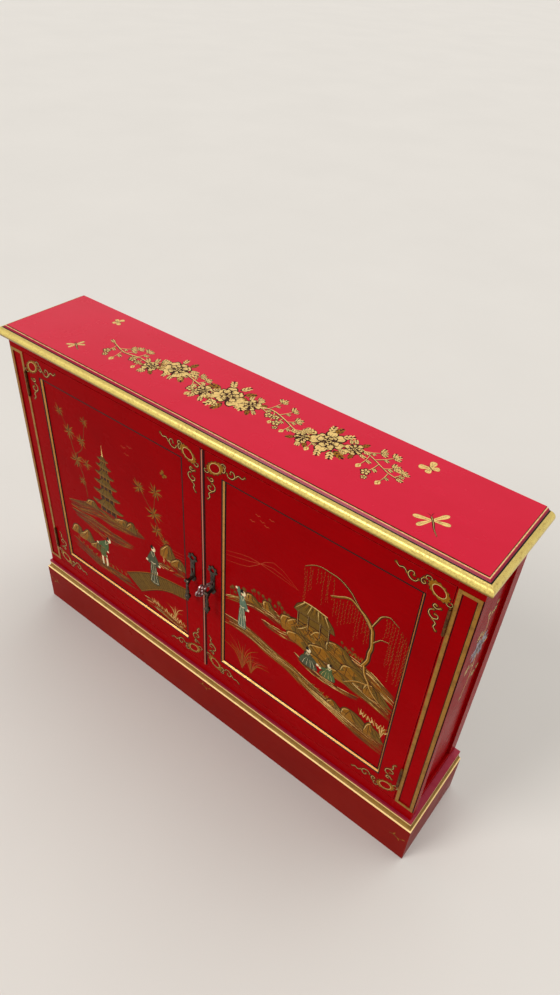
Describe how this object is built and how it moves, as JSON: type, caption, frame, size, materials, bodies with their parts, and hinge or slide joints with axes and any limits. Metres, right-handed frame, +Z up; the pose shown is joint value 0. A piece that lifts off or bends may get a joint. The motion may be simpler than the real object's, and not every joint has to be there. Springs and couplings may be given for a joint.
{
  "type": "console cabinet",
  "caption": "Shallow lacquered console cabinet: moulded top, hinged panelled doors with drop pulls and a keyed lock, shelf inside, plinth base with a coved moulding.",
  "frame": {"origin": "middle of the base on the floor: half the overall width, and half the depth from the nose of the top moulding to the back", "axes": "+Z up, -Y to the front where the doors are, +X to the right as seen from the front"},
  "size_m": [1.1, 0.247, 0.794],
  "materials": {
    "red_lacquer": "glossy red lacquer",
    "gilding": "mottled gilding over wood",
    "bare_wood": "plain stained wood",
    "dark_iron": "dark patina",
    "bronze": "dark bronze patina",
    "lock_steel": "worn bright metal"
  },
  "bodies": {
    "cabinet": {"top_board": "red_lacquer", "front_top_rail": "red_lacquer", "front_bottom_rail": "red_lacquer", "plinth_front": "red_lacquer", "plinth_left": "red_lacquer", "plinth_right": "red_lacquer", "front_post_left": "red_lacquer", "rear_post_left": "red_lacquer", "side_top_rail_left": "red_lacquer", "side_bottom_rail_left": "red_lacquer", "side_panel_left": "red_lacquer", "front_post_right": "red_lacquer", "rear_post_right": "red_lacquer", "side_top_rail_right": "red_lacquer", "side_bottom_rail_right": "red_lacquer", "side_panel_right": "red_lacquer", "post_bands": "gilding", "top_moulding_front": "gilding", "base_moulding_front": "gilding", "top_moulding_left": "gilding", "base_moulding_left": "gilding", "top_moulding_right": "gilding", "base_moulding_right": "gilding", "rear_top_rail": "bare_wood", "bottom_board": "bare_wood", "back_panel": "bare_wood", "shelf": "bare_wood", "shelf_bearers": "bare_wood", "plinth_back": "bare_wood", "plinth_bearer": "bare_wood", "hinge_post_leaves": "bronze", "hinge_pins": "bronze"},
    "left_door": {"left_door_hinge_stile": "red_lacquer", "left_door_meeting_stile": "red_lacquer", "left_door_top_rail": "red_lacquer", "left_door_bottom_rail": "red_lacquer", "left_door_panel": "red_lacquer", "left_door_bead": "gilding", "left_hinge_leaves": "bronze", "left_pull_plate": "bronze", "left_pull_pin": "bronze", "lock_keep": "lock_steel", "bolt_plate": "dark_iron"},
    "right_door": {"right_door_hinge_stile": "red_lacquer", "right_door_meeting_stile": "red_lacquer", "right_door_top_rail": "red_lacquer", "right_door_bottom_rail": "red_lacquer", "right_door_panel": "red_lacquer", "right_door_bead": "gilding", "right_hinge_leaves": "bronze", "right_pull_plate": "bronze", "right_pull_pin": "bronze", "astragal": "red_lacquer", "lock_case": "lock_steel"},
    "left_pull": {"left_pull_drop": "bronze"},
    "right_pull": {"right_pull_drop": "bronze"},
    "key": {"key": "lock_steel"},
    "lock_bolt": {"lock_bolt": "lock_steel"},
    "door_bolt": {"door_bolt": "dark_iron"}
  },
  "joints": [
    {"name": "left_door_hinge", "type": "hinge", "parent": "cabinet", "child": "left_door", "pos_m": [-0.4949, -0.0923, 0.45], "axis": [0, 0, -1], "range_deg": [0, 170]},
    {"name": "right_door_hinge", "type": "hinge", "parent": "cabinet", "child": "right_door", "pos_m": [0.4949, -0.0923, 0.45], "axis": [0, 0, 1], "range_deg": [0, 170]},
    {"name": "left_pull_swing", "type": "hinge", "parent": "left_door", "child": "left_pull", "pos_m": [-0.027, -0.1075, 0.414], "axis": [-1, 0, 0], "range_deg": [-12, 80]},
    {"name": "right_pull_swing", "type": "hinge", "parent": "right_door", "child": "right_pull", "pos_m": [0.027, -0.1075, 0.414], "axis": [-1, 0, 0], "range_deg": [-12, 80]},
    {"name": "key_turn", "type": "hinge", "parent": "right_door", "child": "key", "pos_m": [0.027, -0.0895, 0.437], "axis": [0, 1, 0], "range_deg": [0, 180]},
    {"name": "lock_bolt_throw", "type": "slide", "parent": "right_door", "child": "lock_bolt", "axis": [-1, 0, 0], "range_m": [0, 0.01]},
    {"name": "door_bolt_slide", "type": "slide", "parent": "left_door", "child": "door_bolt", "axis": [0, 0, 1], "range_m": [0, 0.014]}
  ],
  "couplings": [
    {"joint": "lock_bolt_throw", "follows": "key_turn", "m_per_rad": 0.00318}
  ]
}
